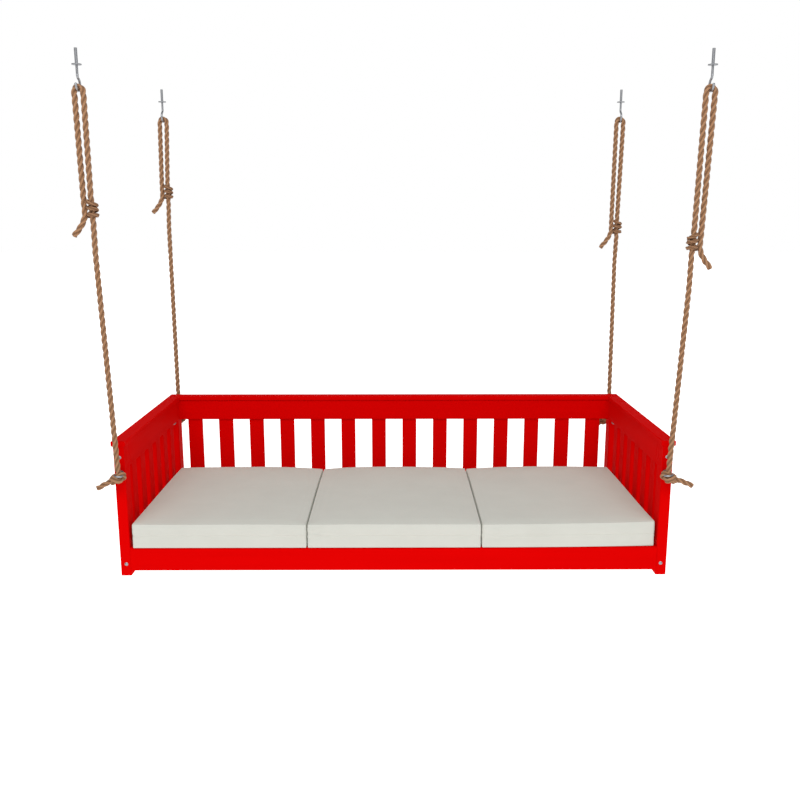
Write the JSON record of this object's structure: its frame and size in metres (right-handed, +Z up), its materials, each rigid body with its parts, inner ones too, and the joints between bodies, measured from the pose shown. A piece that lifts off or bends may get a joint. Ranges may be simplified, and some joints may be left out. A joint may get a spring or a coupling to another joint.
{
  "type": "porch swing",
  "caption": "Slatted wooden porch swing daybed with box cushions, hung on knotted ropes from ceiling hooks; swings front to back and the cushions lift off.",
  "frame": {"origin": "on the ceiling plane, in the middle of the four hooks", "axes": "+X to the right seen from the open front, +Y from the open front to the back, +Z up"},
  "size_m": [2.1893, 0.995, 1.85],
  "materials": {
    "painted_wood": "satin red paint",
    "cushion_cover": "woven off-white outdoor fabric",
    "rope": "three-strand twisted rope, matt",
    "bolts": "zinc plated",
    "screws": "zinc plated",
    "hooks": "zinc plated"
  },
  "bodies": {
    "ceiling": {"hook_front_left": "hooks", "hook_front_right": "hooks", "hook_back_left": "hooks", "hook_back_right": "hooks"},
    "rope_front_left": {"rope_front_left": "rope", "stopper_knot_front_left": "rope", "hitch_front_left": "rope"},
    "rope_front_right": {"rope_front_right": "rope", "stopper_knot_front_right": "rope", "hitch_front_right": "rope"},
    "rope_back_left": {"rope_back_left": "rope", "stopper_knot_back_left": "rope", "hitch_back_left": "rope"},
    "rope_back_right": {"rope_back_right": "rope", "stopper_knot_back_right": "rope", "hitch_back_right": "rope"},
    "swing": {"post_front_left": "painted_wood", "post_front_right": "painted_wood", "post_back_left": "painted_wood", "post_back_right": "painted_wood", "front_rail": "painted_wood", "back_bottom_rail": "painted_wood", "back_top_rail": "painted_wood", "side_bottom_rail_left": "painted_wood", "side_bottom_rail_right": "painted_wood", "side_top_rail_left": "painted_wood", "side_top_rail_right": "painted_wood", "side_cap_left": "painted_wood", "side_cap_right": "painted_wood", "back_cap": "painted_wood", "back_slats": "painted_wood", "side_slats_left": "painted_wood", "side_slats_right": "painted_wood", "deck_slats": "painted_wood", "cleat_front": "painted_wood", "cleat_back": "painted_wood", "centre_beam": "painted_wood", "eye_bolt_front_left": "bolts", "eye_bolt_front_right": "bolts", "eye_bolt_back_left": "bolts", "eye_bolt_back_right": "bolts", "eye_bolt_washers": "bolts", "eye_bolt_nuts": "bolts", "frame_bolts": "bolts", "barrel_nuts": "bolts", "rail_screws": "screws", "deck_screws": "screws"},
    "cushion_left": {"cushion_left": "cushion_cover"},
    "cushion_middle": {"cushion_middle": "cushion_cover"},
    "cushion_right": {"cushion_right": "cushion_cover"}
  },
  "joints": [
    {"name": "swing_front_left", "type": "hinge", "parent": "ceiling", "child": "rope_front_left", "pos_m": [-1.036, -0.47, -0.064], "axis": [1, 0, 0], "range_deg": [-10, 10]},
    {"name": "swing_front_right", "type": "hinge", "parent": "ceiling", "child": "rope_front_right", "pos_m": [1.051, -0.47, -0.064], "axis": [1, 0, 0], "range_deg": [-10, 10]},
    {"name": "swing_back_left", "type": "hinge", "parent": "ceiling", "child": "rope_back_left", "pos_m": [-1.001, 0.47, -0.064], "axis": [1, 0, 0], "range_deg": [-10, 10]},
    {"name": "swing_back_right", "type": "hinge", "parent": "ceiling", "child": "rope_back_right", "pos_m": [0.985, 0.47, -0.064], "axis": [1, 0, 0], "range_deg": [-10, 10]},
    {"name": "ring_front_left", "type": "hinge", "parent": "rope_front_left", "child": "swing", "pos_m": [-0.99, -0.47, -1.402], "axis": [1, 0, 0], "range_deg": [-10, 10]},
    {"name": "cushion_left_lift", "type": "slide", "parent": "swing", "child": "cushion_left", "axis": [0, 0, 1], "range_m": [0, 0.35]},
    {"name": "cushion_middle_lift", "type": "slide", "parent": "swing", "child": "cushion_middle", "axis": [0, 0, 1], "range_m": [0, 0.35]},
    {"name": "cushion_right_lift", "type": "slide", "parent": "swing", "child": "cushion_right", "axis": [0, 0, 1], "range_m": [0, 0.35]}
  ],
  "couplings": [
    {"joint": "swing_front_right", "follows": "swing_front_left", "ratio": 1},
    {"joint": "swing_back_left", "follows": "swing_front_left", "ratio": 1},
    {"joint": "swing_back_right", "follows": "swing_front_left", "ratio": 1},
    {"joint": "ring_front_left", "follows": "swing_front_left", "ratio": -1}
  ]
}
